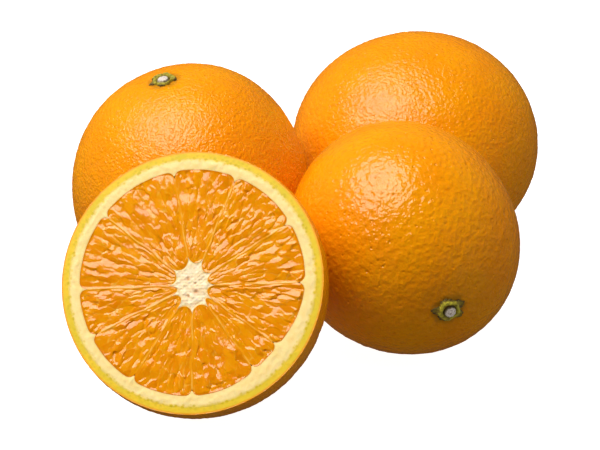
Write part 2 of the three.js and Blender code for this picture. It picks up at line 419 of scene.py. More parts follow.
def skin_material(node):
    """Waxy skin for a whole orange."""
    shader = Shader(f"{node}_skin")
    shader.set(Base_Color=skin_colour(shader), Normal=skin_normal(shader, node))
    shader.set(Roughness=shader.between(shader.noise(300, 2), 0.3, 0.7, 0.14, 0.19))
    set_skin_depth(shader)
    return shader.material


def rim_colour(shader, inward):
    """Yellow-green cut skin with oil glands, fading into the white layer along a scalloped line."""
    gland = shader.between(shader.cells(820), 0.15, 0.55, 1, 0)
    blotch = shader.between(shader.noise(170, 2), 0.35, 0.65)
    edge = shader.mix(blotch, RIM_GREEN, RIM_YELLOW)
    spotted = shader.maths("MULTIPLY", gland, shader.between(inward, 0.4, 1.8, 0.05, 0.4))
    edge = shader.mix(spotted, edge, RIM_GLAND)
    skin_line = shader.between(inward, 0.1, 0.8, 0.85, 0)
    edge = shader.mix(skin_line, edge, SKIN_BRIGHT)
    depth = shader.maths("ADD", inward, shader.maths("MULTIPLY", gland, -0.5))
    depth = shader.maths("ADD", depth, shader.maths("MULTIPLY", shader.noise(700, 3), 0.9))
    return shader.mix(shader.between(depth, 2.1, 3.4), edge, PITH)


def cut_skin_material():
    """The same skin, turning yellow-green and almost flat where it is cut through."""
    shader = Shader("cut_orange_skin")
    cut = shader.value("cut")
    edge = rim_colour(shader, shader.value("inward"))
    shader.set(Base_Color=shader.mix(cut, skin_colour(shader), edge))
    shader.set(Normal=skin_normal(shader, "half_peel", shader.between(cut, 0, 1, 1, 0.15)))
    shader.set(Roughness=shader.between(cut, 0, 1, 0.17, 0.45))
    set_skin_depth(shader)
    return shader.material


def set_pith_depth(shader):
    """How spongy pith takes up light."""
    shader.set(Subsurface_Weight=0.2, Subsurface_Scale=0.0012, Subsurface_Radius=(1.0, 0.7, 0.35))
    shader.set(Specular_IOR_Level=0.35)


def pith_material():
    """Spongy and cream, yellower next to the skin and next to the flesh."""
    shader = Shader("pith")
    colour = shader.mix(shader.between(shader.noise(420, 4, 0.6), 0.35, 0.7, 0, 0.7), PITH, PITH_SHADE)
    inward = shader.value("inward")
    colour = shader.mix(shader.between(inward, 3.1, 4.2), rim_colour(shader, inward), colour)
    by_flesh = shader.between(shader.value("from_flesh"), 0.0, 0.5, 0.5, 0)
    colour = shader.mix(by_flesh, colour, PITH_BY_FLESH)
    sponge = shader.bump(shader.noise(1600, 4, 0.65), 0.3, 0.0003)
    shader.set(Base_Color=colour, Normal=shader.bump(shader.noise(500, 2), 0.2, 0.0005, sponge))
    shader.set(Roughness=0.62)
    set_pith_depth(shader)
    return shader.material


def core_material():
    """White pith, cracked and pitted, with a brown tinge in the pits."""
    shader = Shader("pith_core")
    colour = shader.mix(shader.between(shader.noise(700, 4, 0.6), 0.4, 0.7), CORE_WHITE, CORE_SHADE)
    colour = shader.mix(shader.maths("MULTIPLY", shader.value("pit"), 0.75), colour, CORE_PIT)
    by_flesh = shader.between(shader.value("from_flesh"), 0.0, 0.8, 0.7, 0)
    colour = shader.mix(by_flesh, colour, CORE_BY_FLESH)
    shader.set(Base_Color=colour, Normal=shader.bump(shader.noise(1600, 4, 0.65), 0.3, 0.0003))
    shader.set(Roughness=0.6)
    set_pith_depth(shader)
    return shader.material


def flesh_material():
    """Wet juice sacs, each its own tone, with yellow walls between some and a thin skin at the sides."""
    shader = Shader("flesh")
    colour = shader.mix(shader.value("tone"), FLESH_DEEP, FLESH_BRIGHT)
    some_walls = shader.between(shader.noise(420, 2), 0.45, 0.65, 0, 0.45)
    colour = shader.mix(shader.maths("MULTIPLY", shader.value("wall"), some_walls), colour, FLESH_WALL)
    by_peel = shader.between(shader.value("from_end"), 0.1, 0.8, 0.6, 0)
    colour = shader.mix(by_peel, colour, FLESH_BY_PEEL)
    from_side = shader.value("from_side")
    patchy = shader.between(shader.noise(260, 2), 0.4, 0.62, 0.05, 0.8)
    membrane = shader.maths("MULTIPLY", patchy, shader.between(from_side, 0.05, 0.26, 1, 0))
    colour = shader.mix(membrane, colour, MEMBRANE)
    film = shader.bump(shader.noise(1300, 2), 0.08, 0.0002)
    shader.set(Base_Color=colour, Normal=film, Roughness=0.11, Specular_IOR_Level=0.5)
    shader.set(Subsurface_Weight=shader.between(from_side, 0.1, 1.2, 0, 0.3))
    shader.set(Subsurface_Scale=0.0015, Subsurface_Radius=(1.0, 0.35, 0.05))
    return shader.material


def calyx_material(name):
    """Dry sepals with browned edges, a yellow-green ring and a whitish scar in a moat painted near-black as
    shade.
    """
    shader = Shader(f"{name}_calyx_surface")
    blotch = shader.noise(900, 4, 0.6)
    sepal = shader.mix(shader.between(blotch, 0.4, 0.62), SEPAL, SEPAL_BROWN)
    sepal = shader.mix(shader.between(shader.value("from_tip"), 0.0, 0.9, 0.75, 0), sepal, SEPAL_EDGE)
    ring = shader.mix(shader.between(blotch, 0.42, 0.64), RING_GREEN, RING_BROWN)
    colour = shader.mix(shader.between(shader.value("from_ring"), 0.5, 0.95), ring, sepal)
    wood = shader.mix(shader.between(shader.noise(1500, 3, 0.7), 0.5, 0.68), SCAR_WHITE, SCAR_BROWN)
    colour = shader.mix(shader.value("scar"), colour, wood)
    # painted shade: the moat round the scar is darkened almost to black
    colour = shader.mix(shader.value("moat"), colour, MOAT_PAINTED_SHADE)
    # partly painted light: each fruit's calyx colours are darkened by its own factor, the shaded front one
    # least
    tone_and_light = CALYX_TONE_AND_PAINTED_LIGHT[name]
    colour = shader.mix(1.0, colour, (tone_and_light, tone_and_light, tone_and_light), "MULTIPLY")
    shader.set(Base_Color=colour, Normal=shader.bump(shader.noise(1800, 4, 0.7), 0.5, 0.0003))
    shader.set(Roughness=0.7, Specular_IOR_Level=0.3)
    return shader.material


# ---- Skin relief ----

def pores(directions, radius, spacing, seed):
    """How deep in a pore each point lies, 0 to about 1, for pores spread over a ball."""
    rng = np.random.default_rng(seed)
    count = int(4 * math.pi * (radius / spacing) ** 2)
    seeds = even_directions(count, 0.36 * spacing / radius, rng)
    size = 0.3 + 0.8 * rng.uniform(0, 1, count) ** 2
    tree = kdtree.KDTree(count)
    for number, place in enumerate(seeds):
        tree.insert(place, number)
    tree.balance()
    found = [tree.find(direction)[1:] for direction in directions]
    nearest = np.array([number for number, _ in found])
    away = np.array([distance for _, distance in found]) * radius
    return size[nearest] * hump(away, PORE_WIDTH * (0.6 + 0.3 * spacing))


def skin_relief(node, points, pore, seed):
    """The skin's rise over its smooth shape, in millimetres."""
    spacing = PORE_SPACING[node]
    fine = SKIN_RIPPLE[node] * spacing * waves(points, 1.05 * spacing, seed)
    broad = BROAD_SWELL * waves(points, 7, seed + 1)
    return fine + broad - PORE_DEPTH * spacing * pore


def rest_on_floor(points):
    """Flattens whatever would sink below the surface."""
    flat = points.copy()
    flat[:, 2] = np.maximum(flat[:, 2], 0.0)
    return flat


# ---- Whole oranges ----

def smooth_shape(node, stem_axis, middle):
    """A smooth radius in every direction, fitted to the node's corners away from its foot and calyx seat."""
    away = frame_points(node) - middle
    radius = np.linalg.norm(away, axis=1)
    directions = away / radius[:, None]
    from_axis = radius * np.sqrt(np.clip(1 - (directions @ stem_axis) ** 2, 0, 1))
    at_stem = directions @ stem_axis > 0
    dimple = np.where(at_stem, DIMPLE_DEPTH * hump(from_axis, DIMPLE_RADIUS), 0)
    in_seat = at_stem & (from_axis < 7)
    keep = ~in_seat & (away[:, 2] + middle[2] > 0.4)
    weights = np.linalg.lstsq(powers(directions[keep]), (radius + dimple)[keep], rcond=1e-9)[0]
    return lambda towards: powers(towards) @ weights


def stem_dimple(directions, stem_axis, from_axis):
    """The dip around the calyx, with faint furrows running out of it."""
    side = unit(np.cross(stem_axis, [0.2, 0.5, 0.84]))
    turn = np.arctan2(directions @ np.cross(stem_axis, side), directions @ side)
    furrows = 0.10 * np.cos(7 * turn + 1.3 * np.sin(2 * turn)) * hump(from_axis - 7, 5)
    return (DIMPLE_DEPTH + furrows) * hump(from_axis, DIMPLE_RADIUS)


def whole_orange(name, seed, skin, calyx):
    """One whole orange with its pores, stem dimple, blossom dip and calyx."""
    body = f"{name}_orange"
    middle = middle_of(body)
    stem_axis = unit(middle_of(f"{name}_calyx") - middle)
    shape = smooth_shape(body, stem_axis, middle)
    directions, quads = ball_grid(BALL_STEPS)
    radius = shape(directions)
    size = radius.mean()
    along_axis = directions @ stem_axis
    from_axis = size * np.sqrt(np.clip(1 - along_axis**2, 0, 1))
    stem_dip = np.where(along_axis > 0, stem_dimple(directions, stem_axis, from_axis), 0)
    blossom_dip = np.where(along_axis < 0, BLOSSOM_DEPTH * hump(from_axis, BLOSSOM_RADIUS), 0)
    pore = pores(directions, size, PORE_SPACING[body], seed)
    pore *= smooth_step(from_axis, 3, 8)
    radius = radius - stem_dip - blossom_dip + skin_relief(body, directions * size, pore, seed)
    values = {
        "pore": pore,
        "stem": np.where(along_axis > 0, from_axis, FAR),
        "blossom": np.where(along_axis < 0, from_axis, FAR),
    }
    points = rest_on_floor(middle + directions * radius[:, None])
    make_piece(f"{name}_fruit", points, quads, [body], skin, values)
    calyx_piece(name, seed, StemEnd(middle, stem_axis, shape), calyx)


class StemEnd:
    """The stem end of a whole orange, with points placed by distance and turn about its axis."""

    def __init__(self, middle, axis, shape):
        self.middle = middle
        self.axis = axis
        self.shape = shape
        self.side = unit(np.cross([0, 0, 1], axis))
        self.up = np.cross(axis, self.side)
        self.stem_radius = shape(axis[None])[0]

    def points(self, distance, turn, height):
        """Points at the given heights over the dimpled skin."""
        heading = np.cos(turn)[..., None] * self.side + np.sin(turn)[..., None] * self.up
        towards = unit(distance[..., None] * heading + self.axis * self.stem_radius)
        radius = self.shape(towards.reshape(-1, 3)).reshape(distance.shape)
        radius = radius - DIMPLE_DEPTH * hump(distance, DIMPLE_RADIUS)
        return (self.middle + towards * (radius + height)[..., None]).reshape(-1, 3)


def calyx_lobes(turn, span, seed):
    """In every direction, the star's reach, its upward curl and the share across its lobe."""
    rng = np.random.default_rng(seed + 60)
    bent = turn + 0.25 * np.sin(turn * 2 + seed)
    lobe = bent / (2 * math.pi) * LOBES
    which = np.floor(lobe).astype(int) % LOBES
    across = lobe % 1
    size = rng.permutation(LOBE_SIZES)[which]
    pointed = np.sin(math.pi * across) ** 1.1
    ragged = 1 + 0.035 * np.sin(17 * turn + seed) + 0.025 * np.sin(31 * turn)
    reach = span / 2 * (0.62 + 0.38 * pointed * size) * ragged
    curl = rng.uniform(0.1, 0.9, LOBES)[which] * pointed
    return reach, curl, across


def calyx_relief(distance, turn, seed):
    """The height of the ring, the scar and the moat between them, and the numbers stored for each."""
    side, up = distance * np.cos(turn), distance * np.sin(turn)
    from_scar = np.hypot(side - SCAR_OFFSET[0], up - SCAR_OFFSET[1])
    towards_scar = (side * SCAR_OFFSET[0] + up * SCAR_OFFSET[1]) / (distance * math.hypot(*SCAR_OFFSET))
    uneven = 1 + 0.10 * np.sin(2 * turn + seed) + 0.06 * np.sin(5 * turn)
    from_ring = np.abs(distance * uneven - RING_RADIUS)
    ring = RING_HEIGHT * (0.8 - 0.3 * towards_scar) * hump(from_ring, RING_WIDTH)
    scar = smooth_step(SCAR_RADIUS + 0.1 - from_scar, 0, 0.3) * (distance < RING_RADIUS)
    grain = 0.10 * np.cos(side * 5) * np.cos(up * 4 + 1)
    wood = scar * (SCAR_HEIGHT + grain)
    moat = hump(from_scar - SCAR_RADIUS - 0.25, 0.28) * smooth_step(RING_RADIUS - distance, -0.3, 0.3)
    # the moat dips deeper, and gets more painted shade, on the side away from the scar
    moat *= 0.6 - 0.4 * towards_scar
    return np.maximum(ring, wood) - 0.5 * moat, from_ring, scar, moat


def calyx_piece(name, seed, stem_end, material):
    """A ragged star of dry sepals that lies on the skin, with a raised ring and the scar of the stalk."""
    low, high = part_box(f"{name}_calyx")
    span = max(high - low) * 1000
    turn = full_turn(CALYX_TURNS)
    reach, curl, across = calyx_lobes(turn, span, seed)
    share = np.linspace(0, 1, CALYX_RINGS)[1:, None]
    distance = share * reach
    relief, from_ring, scar, moat = calyx_relief(distance, turn, seed)
    tip = 0.7 * smooth_step(distance, span * 0.34, span * 0.5) * curl
    furrow = 0.10 * np.cos(2 * math.pi * across) ** 2 * smooth_step(distance, 3.6, 4.6)
    height = CALYX_HEIGHT + relief + tip - furrow
    height *= 0.5 + 0.5 * smooth_step(1 - share, 0, 0.06)
    under_height = np.where(distance > RING_RADIUS + 0.6, height - CALYX_THICKNESS, CALYX_ROOT)

    turn_grid = np.broadcast_to(turn, distance.shape)
    top_points = stem_end.points(distance, turn_grid, height)
    under_points = stem_end.points(distance * 0.985, turn_grid, under_height)
    peak_height = CALYX_HEIGHT + SCAR_HEIGHT
    ends = stem_end.points(np.zeros(2), np.zeros(2), np.array([peak_height, CALYX_ROOT]))
    points = np.concatenate([top_points, under_points, ends])

    half = len(top_points)
    top = np.arange(half).reshape(distance.shape)
    under = top + half
    faces = [*ring_quads(top), *turned_over(ring_quads(under)), *ring_quads(np.stack([top[-1], under[-1]]))]
    faces += fan(2 * half, top[0]) + turned_over(fan(2 * half + 1, under[0]))

    def on_both_sides(numbers, at_middle):
        return np.concatenate([numbers.reshape(-1), numbers.reshape(-1), [at_middle, at_middle]])

    values = {
        "from_ring": on_both_sides(from_ring, RING_RADIUS),
        "from_tip": on_both_sides(reach - distance, 9.0),
        "scar": on_both_sides(scar, 1.0),
        # the moat number sets how much painted shade each point of the calyx gets
        "moat": on_both_sides(moat * 0.85, 0.0),
    }
    make_piece(f"{name}_stem_star", points, faces, [f"{name}_calyx"], material, values)


# ---- The cut orange ----

class CutFruit:
    """The cut orange as measured from the frame: its cut face, its ball, its core and its membranes."""

    def __init__(self):
        self.turn = full_turn(TURNS)
        self.measure_face()
        self.measure_ball()
        self.measure_segments()
        self.measure_flesh_edge()

    def measure_face(self):
        """The cut face's own directions, and the middle of its rim."""
        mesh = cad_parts["half_peel"].data
        normals = np.array([polygon.normal[:] for polygon in mesh.polygons])
        areas = np.array([polygon.area for polygon in mesh.polygons])
        flat_area = ((normals @ normals.T) > 0.99995) @ areas
        self.out = normals[flat_area.argmax()]
        self.side = unit(np.cross([0, 0, 1], self.out))
        self.up = np.cross(self.out, self.side)
        self.origin = np.zeros(3)
        corners = frame_points("half_peel")
        level = (corners @ self.out).max()
        rim = self.inwards(corners[corners @ self.out > level - 0.01])
        centre = (rim.min(axis=0) + rim.max(axis=0)) / 2
        self.origin = centre[0] * self.side + centre[1] * self.up + level * self.out

    def inwards(self, points):
        """Row frame to the cut face's own frame: x along its level line, y up it, z out of it."""
        away = points - self.origin
        return np.stack([away @ self.side, away @ self.up, away @ self.out], axis=-1)

    def outwards(self, points):
        """The cut face's own frame to the row frame."""
        x, y, z = points[..., 0:1], points[..., 1:2], points[..., 2:3]
        return self.origin + x * self.side + y * self.up + z * self.out

    def measure_ball(self):
        """The ball's radius, how far its middle is below the face, and the bowl inside the peel."""
        corners = self.inwards(frame_points("half_peel"))
        rim = np.abs(corners[:, 2]) < 0.01
        distance = np.hypot(corners[:, 0], corners[:, 1])
        self.face_radius = distance[rim].max()
        deepest = -corners[:, 2].min()
        self.radius = (deepest**2 + self.face_radius**2) / (2 * deepest)
        self.below = deepest - self.radius
        self.rim_angle = math.asin(self.below / self.radius)
        self.inner_edge = corners[rim & (distance < self.face_radius - 2)][:, :2]
        self.inner_reach = np.hypot(self.inner_edge[:, 0], self.inner_edge[:, 1]).max()
        self.bowl_radius = math.hypot(self.inner_reach, self.below)

    def measure_segments(self):
        """The core's middle, where each segment starts and ends round it, and how far out its tip is."""
        self.names = sorted(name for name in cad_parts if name.startswith("half_segment_"))
        core = self.inwards(frame_points("half_core"))
        core_top = core[core[:, 2] > core[:, 2].max() - 0.01]
        self.core = (core_top[:, :2].min(axis=0) + core_top[:, :2].max(axis=0)) / 2
        starts, ends, tips = [], [], []
        for name in self.names:
            corners = self.inwards(frame_points(name))
            top = corners[corners[:, 2] > corners[:, 2].max() - 0.01][:, :2] - self.core
            distance = np.hypot(top[:, 0], top[:, 1])
            heading = np.arctan2(top[:, 1].mean(), top[:, 0].mean())
            outer = top[distance > 20]
            turn = (np.arctan2(outer[:, 1], outer[:, 0]) - heading + math.pi) % (2 * math.pi) - math.pi
            starts.append(heading + turn.min())
            ends.append(heading + turn.max())
            tips.append(distance.min())
        gap = (np.array(starts) - np.roll(ends, 1) + math.pi) % (2 * math.pi) - math.pi
        self.starts = np.array(starts) - gap / 2
        self.ends = self.starts + (np.roll(self.starts, -1) - self.starts) % (2 * math.pi)
        self.tips = np.array(tips)

    def measure_flesh_edge(self):
        """The inside of the peel on the cut face, by direction and distance from the core."""
        edge = self.inner_edge - self.core
        turn = np.arctan2(edge[:, 1], edge[:, 0])
        order = turn.argsort()
        self.edge_turn = turn[order]
        self.edge_reach = np.hypot(edge[:, 0], edge[:, 1])[order]

    def flesh_edge(self, turn):
        """How far the flesh reaches from the core in each direction, to the inside of the peel."""
        return np.interp(turn, self.edge_turn, self.edge_reach, period=2 * math.pi)

    def outline(self, number, share):
        """One segment's inner and outer edge, for shares 0 to 1 across it, with rounded corners and tip."""
        start, end = self.starts[number], self.ends[number]
        reach = self.flesh_edge(start + share * (end - start))
        from_side = reach * (0.5 - np.abs(share - 0.5)) * (end - start)
        corner = np.clip(1 - from_side / CORNER_ROUNDING, 0, 1)
        reach = reach - CORNER_ROUNDING * (1 - np.sqrt(1 - corner**2))
        aside = np.clip(np.abs(share - 0.5) * 2, 0, 1)
        tip = self.tips[number] + TIP_ROUNDING * (1 - np.sqrt(1 - aside**2))
        return tip, reach

    def edges(self, turn):
        """The flesh's inner and outer edge in any direction about the core, whichever segment is there."""
        inner, outer = np.zeros_like(turn), np.zeros_like(turn)
        for number in range(len(self.names)):
            width = self.ends[number] - self.starts[number]
            share = ((turn - self.starts[number]) % (2 * math.pi)) / width
            inside = share <= 1
            inner[inside], outer[inside] = self.outline(number, share[inside])
        return inner, outer

    def bowl(self, x, y, margin):
        """Depth of the bowl inside the peel under a point of the face."""
        ball = self.bowl_radius - margin
        return -self.below - np.sqrt(np.clip(ball**2 - x**2 - y**2, 1, None))

    def directions(self, angle):
        """A ring of directions from the middle of the ball, at an angle above its middle plane."""
        return around(self.turn, math.cos(angle), math.sin(angle))

    def ball_ring(self, angle, radius):
        """A ring of points in those directions, the given distance from the middle of the ball."""
        return self.directions(angle) * np.reshape(radius, (-1, 1)) - [0, 0, self.below]

    def flat_ring(self, distance):
        """A ring of points on the cut face, the given distance from its middle."""
        return around(self.turn, distance, 0.0)

    def lowest(self, radius):
        """The lowest point of a ball of the given radius about the same middle."""
        return [0, 0, -self.below - radius]


def skin_thickness(turn):
    """How thick the coloured layer is round the cut: thicker on one side, with a scalloped inner edge."""
    scallops = 0.10 * np.sin(58 * turn) + 0.07 * np.sin(83 * turn + 1)
    return FLAVEDO * (1 + 0.10 * np.cos(turn - 2.6)) + scallops


def pored_outside(fruit):
    """The skin's outside, ring by ring up to the rim, and how deep in a pore each point lies."""
    climb = np.linspace(-math.pi / 2, fruit.rim_angle, OUTSIDE_RINGS + 1)[1:]
    directions = np.concatenate([fruit.directions(angle) for angle in climb])
    pore = pores(directions, fruit.radius, PORE_SPACING["half_peel"], SEED + 40)
    relief = skin_relief("half_peel", directions * fruit.radius, pore, SEED + 40)
    from_rim = fruit.below - directions[:, 2] * fruit.radius
    relief *= smooth_step(from_rim, 0.0, 1.0)
    return directions * (fruit.radius + relief)[:, None] - [0, 0, fruit.below], pore


def cut_edge_ring(fruit, depth, share):
    """A ring of the skin's cut edge, at a depth in from the rim: rough near it and rounded at it."""
    ring = fruit.flat_ring(fruit.face_radius - depth)
    rough = 0.03 * waves(ring, 0.9, SEED + 3) * (1 - share)
    ring[:, 2] = rough - EDGE_ROUNDING * (1 - smooth_step(depth, 0, 0.35))
    return ring


def cut_skin(fruit, thickness, material):
    """The coloured outer layer: pored skin outside, a gland-spotted edge on the cut, smooth inside."""
    outside, pore = pored_outside(fruit)
    inner_radius = fruit.radius - FLAVEDO
    rings, inward = [], []
    for share in np.linspace(0, 1, EDGE_RINGS + 1)[1:]:
        depth = share * thickness
        rings.append(cut_edge_ring(fruit, depth, share))
        inward.append(depth)
    for angle in np.linspace(fruit.rim_angle - 0.02, -math.pi / 2, INSIDE_RINGS + 1)[:-1]:
        radius = inner_radius - (thickness - FLAVEDO) * math.cos(angle)
        rings.append(fruit.ball_ring(angle, radius))
        inward.append(thickness)
    ends = [fruit.lowest(fruit.radius), fruit.lowest(inner_radius)]
    points = np.concatenate([outside, *rings, ends])
    not_cut = np.zeros(len(outside))
    below_middle = points[:, 2] < -fruit.below
    values = {
        "pore": np.concatenate([pore, np.zeros(len(points) - len(pore))]),
        "inward": np.concatenate([not_cut, *inward, [0, FLAVEDO]]),
        "cut": np.concatenate([not_cut, np.ones(len(rings) * TURNS), [0, 1]]),
        "stem": np.full(len(points), FAR),
        "blossom": np.where(below_middle, np.hypot(points[:, 0], points[:, 1]), FAR),
    }
    faces = turned_over(closed_grid(OUTSIDE_RINGS + len(rings), TURNS))
    points = rest_on_floor(fruit.outwards(points))
    make_piece("half_skin", points, faces, ["half_peel"], material, values)


def pith_edge(fruit):
    """Distance from the face's middle to the white layer's inner edge, just outside the segments."""
    distance = 30
    for _ in range(3):
        about_core = fruit.flat_ring(distance)[:, :2] - fruit.core
        turn = np.arctan2(about_core[:, 1], about_core[:, 0])
        _, reach = fruit.edges(turn)
        edge = fruit.core + around(turn, reach + 0.03, 0.0)[:, :2]
        distance = np.hypot(edge[:, 0], edge[:, 1])
    return distance


def pith_face_ring(fruit, distance, share):
    """A ring of the white layer's cut face, spongy and swollen between its two edges."""
    ring = fruit.flat_ring(distance)
    height = 0.05 * waves(ring, 1.6, SEED + 5) + 0.06 * waves(ring, 6, SEED + 6) + 0.10
    ring[:, 2] = height * math.sin(math.pi * share)
    return ring


def bowl_ring(fruit, inner_edge, share):
    """A ring of the bowl inside the peel. Near the top it follows the segments' rounded corners."""
    angle = fruit.rim_angle + (-math.pi / 2 - fruit.rim_angle) * share
    near_top = max(0, math.cos(angle)) ** 4
    reach = fruit.inner_reach + (inner_edge - fruit.inner_reach) * near_top
    ring = fruit.ball_ring(angle, np.hypot(reach, fruit.below))
    ring[:, 2] = np.minimum(ring[:, 2], -BOWL_LIP)
    return ring


def cut_pith(fruit, thickness, material):
    """The white layer of the peel, reaching between the rounded corners of the segments."""
    outer_edge = fruit.face_radius - thickness - PITH_GAP
    inner_edge = pith_edge(fruit)
    outer_ball = fruit.radius - FLAVEDO - PITH_GAP
    deep, beside_skin = 6.0, 3.0
    rings, inward, from_flesh = [], [], []

    def add(ring, depth, away):
        rings.append(ring)
        inward.append(np.broadcast_to(depth, TURNS))
        from_flesh.append(np.broadcast_to(away, TURNS))

    for angle in np.linspace(-math.pi / 2, fruit.rim_angle - 0.02, PITH_OUTSIDE_RINGS + 1)[1:]:
        radius = outer_ball - (thickness - FLAVEDO) * math.cos(angle)
        add(fruit.ball_ring(angle, radius), thickness, beside_skin)
    for share in np.linspace(0, 1, PITH_FACE_RINGS):
        distance = outer_edge + (inner_edge - outer_edge) * share
        ring = pith_face_ring(fruit, distance, share)
        add(ring, thickness + outer_edge - distance, distance - inner_edge)
    for share in np.linspace(0, 1, BOWL_RINGS + 2)[1:-1]:
        add(bowl_ring(fruit, inner_edge, share), deep, 0)
    ends = [fruit.lowest(outer_ball), fruit.lowest(fruit.bowl_radius)]
    values = {
        "inward": np.concatenate([*inward, [FLAVEDO, deep]]),
        "from_flesh": np.concatenate([*from_flesh, [beside_skin, 0]]),
    }
    faces = turned_over(closed_grid(len(rings), TURNS))
    points = rest_on_floor(fruit.outwards(np.concatenate([*rings, ends])))
    make_piece("half_white_layer", points, faces, ["half_peel"], material, values)


# ---- Segments ----

def sac_size(distance):
    """Length and width of a juice sac at a distance from the core."""
    return SAC_LENGTH * (distance / 20) ** 0.4, SAC_WIDTH * (distance / 20) ** 0.5


def sac_seeds(fruit, number, rng):
    """Middles of one segment's juice sacs, as distance and direction from the core, in uneven rows."""
    start, end = fruit.starts[number], fruit.ends[number]
    distance = fruit.tips[number] * 0.7
    seeds = []
    while distance < fruit.inner_reach + 3:
        length, width = sac_size(distance)
        step = width / distance
        for column in range(int((end - start) / step) + 2):
            turn = start + (column + rng.uniform(-0.95, -0.05)) * step
            seeds.append((distance + rng.uniform(-0.5, 0.5) * length, turn))
        distance += length
    return np.array(seeds)


def nearest_two(spread):
    """For each row of distances, which are the nearest and the next, and how far off they are."""
    order = np.argpartition(spread, 2, axis=1)[:, :2]
    rows = np.arange(len(spread))
    first, second = order[:, 0], order[:, 1]
    swap = spread[rows, first] > spread[rows, second]
    first, second = np.where(swap, second, first), np.where(swap, first, second)
    return first, second, spread[rows, first], spread[rows, second]


def sac_relief(flat, distance, turn, seeds, rng):
    """Rise, tone and wall of the cut juice sacs at each point: tilted facets that run together."""
    length, width = sac_size(distance)
    along = distance + 0.12 * length * waves(flat, 2.2, int(rng.integers(1000)))
    turn = turn + 0.14 * width / distance * waves(flat, 2.8, int(rng.integers(1000)))
    spread = np.hypot(
        (along[:, None] - seeds[None, :, 0]) / length[:, None],
        (turn[:, None] - seeds[None, :, 1]) * (distance / width)[:, None],
    )
    first, second, near, next_near = nearest_two(spread)
    lean_along = rng.normal(0, 0.06, len(seeds))
    lean_turn = rng.normal(0, 0.10, len(seeds))
    level = rng.normal(0, 0.012, len(seeds))
    tone = rng.uniform(0.0, 1.0, len(seeds))

    def facet(which):
        offset_along = along - seeds[which, 0]
        offset_turn = (turn - seeds[which, 1]) * distance
        return lean_along[which] * offset_along + lean_turn[which] * offset_turn + level[which] * width

    share = 0.5 + 0.5 * smooth_step(next_near - near, 0.0, 0.26)
    wall = 1 - smooth_step(next_near - near, 0.0, 0.14)
    rise = facet(first) * share + facet(second) * (1 - share)
    rise += width * (SAC_BULGE * (1 - near**2 * 1.6) - SAC_GROOVE * wall)
    rise *= 0.95 + 0.55 * waves(flat, 8, SEED + 30)
    return rise, tone[first] * share + tone[second] * (1 - share), wall


def membrane_sway(number, distance):
    """How far the membrane before a segment strays from a straight line, in radians."""
    window = smooth_step(distance, 6, 12) * (1 - smooth_step(distance, 21, 26))
    return SIDE_SWAY * np.sin(0.5 * distance + 2.3 * number) * window / distance


def segment_face(fruit, number):
    """A segment's cut face: points in rows from the tip to the peel, and the numbers stored on them."""
    rng = np.random.default_rng(SEED * 100 + number)
    width = fruit.ends[number] - fruit.starts[number]
    across = np.linspace(0, 1, int(width * SEGMENT_WIDTH_AT / SAC_GRID) + 1)
    outward = np.linspace(0, 1, int(SEGMENT_LENGTH / SAC_GRID))[:, None]
    tip, reach = fruit.outline(number, across)
    distance = tip + (reach - tip) * outward
    aside = np.arcsin(np.clip(HALF_GAP / distance, 0, 0.2))
    turn = fruit.starts[number] + aside + across * (width - 2 * aside)
    near_sway = membrane_sway(number, distance)
    far_sway = membrane_sway((number + 1) % len(fruit.names), distance)
    turn += near_sway + across * (far_sway - near_sway)
    from_side = distance * (0.5 - np.abs(across - 0.5)) * width
    from_peel = reach - distance
    from_end = np.minimum(distance - tip, from_peel)
    shape = distance.shape
    distance, turn, from_side, from_peel, from_end = (
        grid.reshape(-1) for grid in (distance, turn, from_side, from_peel, from_end)
    )

    flat = around(turn, distance, 7.0 * number) + [*fruit.core, 0]
    seeds = sac_seeds(fruit, number, rng)
    rise, tone, wall = sac_relief(flat, distance, turn, seeds, rng)
    from_edge = np.minimum(from_side, from_end)
    rise += FACE_SWELL * waves(flat, 8, SEED + 20) + 0.006 * waves(flat, 0.9, SEED + number)
    rise = rise * smooth_step(from_edge, 0.1, 0.8) - 0.05 * smooth_step(from_edge, 0.1, 0.5)
    ridge = (1 - smooth_step(from_side, 0.08, 0.45)) * smooth_step(from_end, 0.2, 1.5)
    rise += MEMBRANE_RIDGE * ridge
    values = {"tone": tone, "wall": wall, "from_side": from_side, "from_end": from_peel}
    return np.column_stack([flat[:, :2], rise]), shape, values


def segment_piece(fruit, number, material):
    """One segment: cut face on top, thin skin down its sides, and the bowl's shape beneath."""
    top, shape, values = segment_face(fruit, number)
    index = np.arange(len(top)).reshape(shape)
    squares = np.stack([index[:-1, :-1], index[1:, :-1], index[1:, 1:], index[:-1, 1:]], axis=-1)
    loop = np.concatenate([index[:, 0], index[-1, 1:], index[-2::-1, -1], index[0, -2:0:-1]])
    outline = top[loop, :2]
    centre = outline.mean(axis=0)
    points = [top]
    for shrink, share_down in SEGMENT_LEVELS:
        flat = centre + (outline - centre) * shrink
        depth = fruit.bowl(flat[:, 0], flat[:, 1], BOWL_CLEARANCE) * share_down
        points.append(np.column_stack([flat, depth]))
    points.append([[*centre, fruit.bowl(*centre, BOWL_CLEARANCE)]])
    points = np.concatenate(points)

    lowest = len(points) - 1
    levels = np.arange(len(top), lowest).reshape(len(SEGMENT_LEVELS), -1)
    sides = turned_over(ring_quads(np.vstack([loop, levels])))
    faces = [*squares.reshape(-1, 4), *sides, *fan(lowest, levels[-1])]
    more = len(points) - len(top)
    elsewhere = {"tone": 0.6, "wall": 0.0, "from_side": 0.0, "from_end": 0.0}
    values = {key: np.concatenate([values[key], np.full(more, elsewhere[key])]) for key in values}
    name = fruit.names[number]
    make_piece(f"{name}_flesh", fruit.outwards(points), faces, [name], material, values)


# ---- Pith core ----

